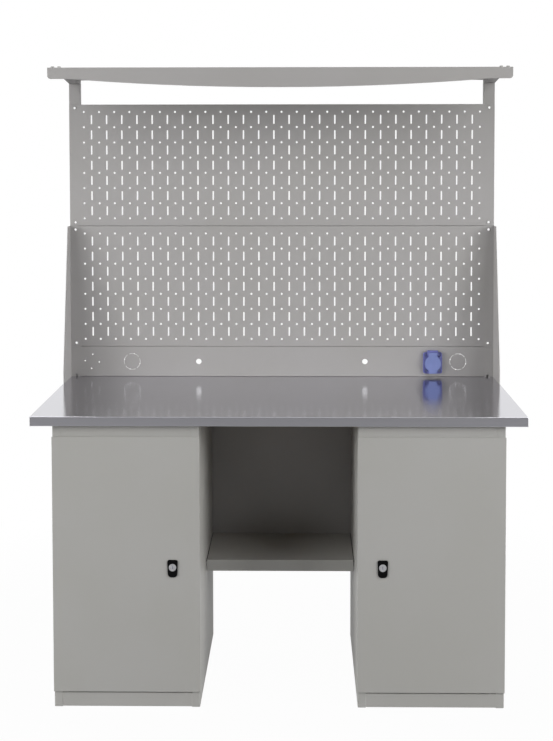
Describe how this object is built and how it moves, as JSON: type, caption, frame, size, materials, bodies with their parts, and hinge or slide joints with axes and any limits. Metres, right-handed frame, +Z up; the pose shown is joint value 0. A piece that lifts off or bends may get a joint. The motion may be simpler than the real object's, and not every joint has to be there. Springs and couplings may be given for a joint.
{
  "type": "pedestal workbench with pegboard",
  "caption": "Steel workbench on pedestals with doors, a knee space and shelf between them, a pegboard back wall, a rail with a lidded socket, and a bowed canopy.",
  "frame": {"origin": "middle of the footprint, on the floor", "axes": "+Z up, the doors and the working side face -Y, +X to the right as seen from the front"},
  "size_m": [1.4, 0.6, 1.842],
  "materials": {
    "powder_grey": "satin powder coat",
    "worktop_steel": "zinc-coated sheet steel",
    "zinc": "zinc-plated steel",
    "chrome_satin": "satin chrome",
    "black_screw": "blackened steel",
    "lock_black": "moulded black",
    "socket_blue": "moulded dark blue",
    "lid_blue": "moulded light blue",
    "contact_white": "moulded white",
    "board": "raw particle board"
  },
  "bodies": {
    "bench": {"worktop_skin": "worktop_steel", "worktop_core": "board", "worktop_screws": "zinc", "left_outer_side": "powder_grey", "left_inner_side": "powder_grey", "left_back": "powder_grey", "left_top_rail": "powder_grey", "left_floor": "powder_grey", "left_inner_shelf": "powder_grey", "left_shelf_clips": "zinc", "left_hinge_brackets": "zinc", "left_hinge_pins": "zinc", "right_outer_side": "powder_grey", "right_inner_side": "powder_grey", "right_back": "powder_grey", "right_top_rail": "powder_grey", "right_floor": "powder_grey", "right_inner_shelf": "powder_grey", "right_shelf_clips": "zinc", "right_hinge_brackets": "zinc", "right_hinge_pins": "zinc", "modesty_panel": "powder_grey", "knee_shelf": "powder_grey", "knee_bolts": "zinc", "left_post": "powder_grey", "right_post": "powder_grey", "left_gusset": "powder_grey", "right_gusset": "powder_grey", "frame_bolts": "zinc", "upper_peg_panel": "powder_grey", "lower_peg_panel": "powder_grey", "socket_panel": "powder_grey", "panel_rivets": "powder_grey", "seam_bolts": "zinc", "left_arm": "powder_grey", "right_arm": "powder_grey", "canopy": "powder_grey", "canopy_bolts": "powder_grey", "socket_housing": "socket_blue", "socket_insert": "contact_white", "socket_screws": "black_screw", "lid_pin": "zinc", "lid_spring": "zinc"},
    "left_door": {"left_door_skin": "powder_grey", "left_door_liner": "powder_grey", "left_hinge_sleeves": "powder_grey", "left_lock_plate": "lock_black", "left_lock_body": "zinc", "left_lock_nut": "zinc"},
    "left_lock": {"left_key_cylinder": "chrome_satin", "left_lock_cam": "zinc"},
    "right_door": {"right_door_skin": "powder_grey", "right_door_liner": "powder_grey", "right_hinge_sleeves": "powder_grey", "right_lock_plate": "lock_black", "right_lock_body": "zinc", "right_lock_nut": "zinc"},
    "right_lock": {"right_key_cylinder": "chrome_satin", "right_lock_cam": "zinc"},
    "socket_lid": {"socket_lid": "lid_blue"}
  },
  "joints": [
    {"name": "left_door_hinge", "type": "hinge", "parent": "bench", "child": "left_door", "pos_m": [-0.635, -0.275, 0.41], "axis": [0, 0, -1], "range_deg": [0, 100]},
    {"name": "right_door_hinge", "type": "hinge", "parent": "bench", "child": "right_door", "pos_m": [0.635, -0.275, 0.41], "axis": [0, 0, 1], "range_deg": [0, 100]},
    {"name": "left_lock_turn", "type": "hinge", "parent": "left_door", "child": "left_lock", "pos_m": [-0.301, -0.281, 0.406], "axis": [0, -1, 0], "range_deg": [0, 90]},
    {"name": "right_lock_turn", "type": "hinge", "parent": "right_door", "child": "right_lock", "pos_m": [0.295, -0.281, 0.406], "axis": [0, 1, 0], "range_deg": [0, 90]},
    {"name": "socket_lid_hinge", "type": "hinge", "parent": "bench", "child": "socket_lid", "pos_m": [0.498, 0.2605, 0.918], "axis": [-1, 0, 0], "range_deg": [0, 120], "stiffness_Nm_per_rad": 0.02, "springref_deg": -34.38}
  ]
}
